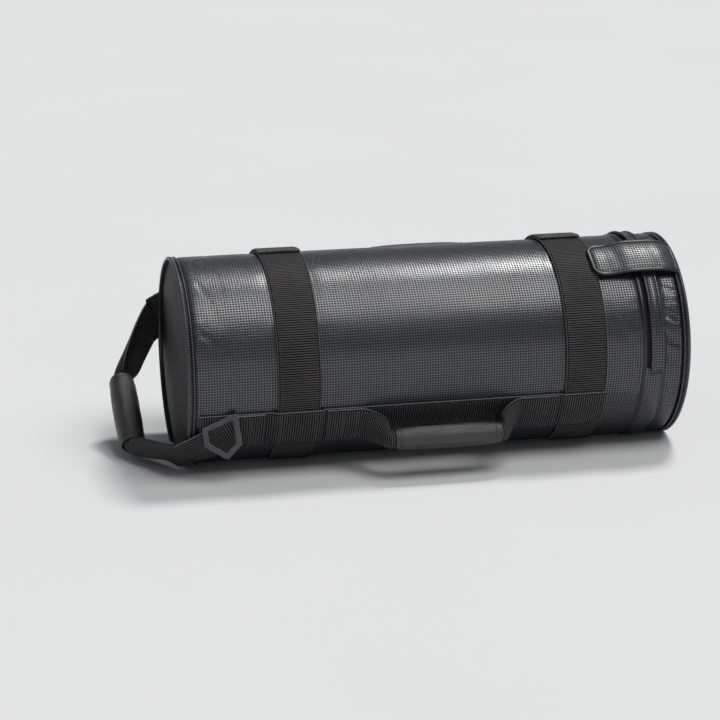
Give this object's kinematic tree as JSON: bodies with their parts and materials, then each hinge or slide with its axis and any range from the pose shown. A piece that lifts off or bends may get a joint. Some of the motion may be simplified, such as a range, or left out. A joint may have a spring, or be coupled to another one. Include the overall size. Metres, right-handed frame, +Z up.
{
  "type": "sandbag trainer",
  "caption": "Cylindrical black weight bag with webbing girth bands, padded side handles, a drooping end handle, a zipped end and a closure flap.",
  "frame": {"origin": "centre of the flat underside of the resting bag, halfway along its length", "axes": "+X along the bag towards its zipped end, +Z up, -Y towards the front handle"},
  "size_m": [0.6696, 0.3162, 0.2433],
  "materials": {
    "cover": "embossed black synthetic leather, satin",
    "end_cover": "plain black synthetic leather, satin",
    "piping": "folded and stitched black synthetic leather",
    "webbing": "black polyester webbing, matt",
    "grip": "fine-grained black synthetic leather over padding",
    "core": "dark grey plastic",
    "foam": "grey foam",
    "pouch": "dark grey woven fabric, sand inside",
    "zip_tape": "black woven tape",
    "zip_teeth": "black moulded plastic",
    "zip_metal": "black lacquered zinc",
    "hook_loop": "black hook and loop fabric"
  },
  "bodies": {
    "bag": {"back_strap": "webbing", "body_sleeve": "cover", "end_collar": "cover", "foam_lining": "foam", "front_strap": "webbing", "left_end_panel": "end_cover", "left_foam_disc": "foam", "left_girth_band": "webbing", "left_seam_piping": "piping", "loop_patch": "hook_loop", "right_end_panel": "end_cover", "right_foam_disc": "foam", "right_girth_band": "webbing", "right_seam_piping": "piping", "sand_pouch_1": "pouch", "sand_pouch_2": "pouch", "sand_pouch_3": "pouch", "zip_back_stop": "zip_metal", "zip_front_stop": "zip_metal", "zip_gusset": "cover", "zip_tape_left": "zip_tape", "zip_tape_right": "zip_tape", "zip_teeth_left": "zip_teeth", "zip_teeth_right": "zip_teeth"},
    "front_handle": {"front_handle_web": "webbing", "front_handle_grip": "grip", "front_handle_grip_core": "core"},
    "back_handle": {"back_handle_web": "webbing", "back_handle_grip": "grip", "back_handle_grip_core": "core"},
    "end_handle": {"end_handle_web": "webbing", "end_handle_grip": "grip", "end_handle_grip_core": "core"},
    "anchor_loop": {"anchor_loop": "webbing"},
    "closure_flap": {"closure_flap": "cover", "flap_binding": "piping", "hook_patch": "hook_loop"},
    "zip_slider": {"zip_slider": "zip_metal"},
    "zip_pull": {"zip_pull": "zip_metal"}
  },
  "joints": [
    {"name": "front_handle_swing", "type": "hinge", "parent": "bag", "child": "front_handle", "pos_m": [0, -0.11002, 0.057], "axis": [1, 0, 0], "range_deg": [-50, 74], "deforming": ["front_handle_web"]},
    {"name": "back_handle_swing", "type": "hinge", "parent": "bag", "child": "back_handle", "pos_m": [0, 0.11002, 0.174], "axis": [1, 0, 0], "range_deg": [-68, 58], "deforming": ["back_handle_web"]},
    {"name": "end_handle_swing", "type": "hinge", "parent": "bag", "child": "end_handle", "pos_m": [-0.24, 0, 0.1155], "axis": [0, 0.8829, 0.4695], "range_deg": [0, 85], "deforming": ["end_handle_web"]},
    {"name": "anchor_loop_swing", "type": "hinge", "parent": "bag", "child": "anchor_loop", "pos_m": [-0.26533, -0.12042, 0.07578], "axis": [-0.8918, 0.1653, -0.4212], "range_deg": [0, 60]},
    {"name": "flap_lift", "type": "hinge", "parent": "bag", "child": "closure_flap", "pos_m": [0.2965, -0.05949, 0.22327], "axis": [0, 0.8755, 0.4833], "range_deg": [0, 90]},
    {"name": "zip_slider_travel", "type": "hinge", "parent": "bag", "child": "zip_slider", "pos_m": [0.2545, 0, 0.1155], "axis": [1, 0, 0], "range_deg": [0, 176]},
    {"name": "zip_pull_swing", "type": "hinge", "parent": "zip_slider", "child": "zip_pull", "pos_m": [0.2545, 0.12549, 0.11379], "axis": [1, 0, 0], "range_deg": [0, 140]}
  ]
}
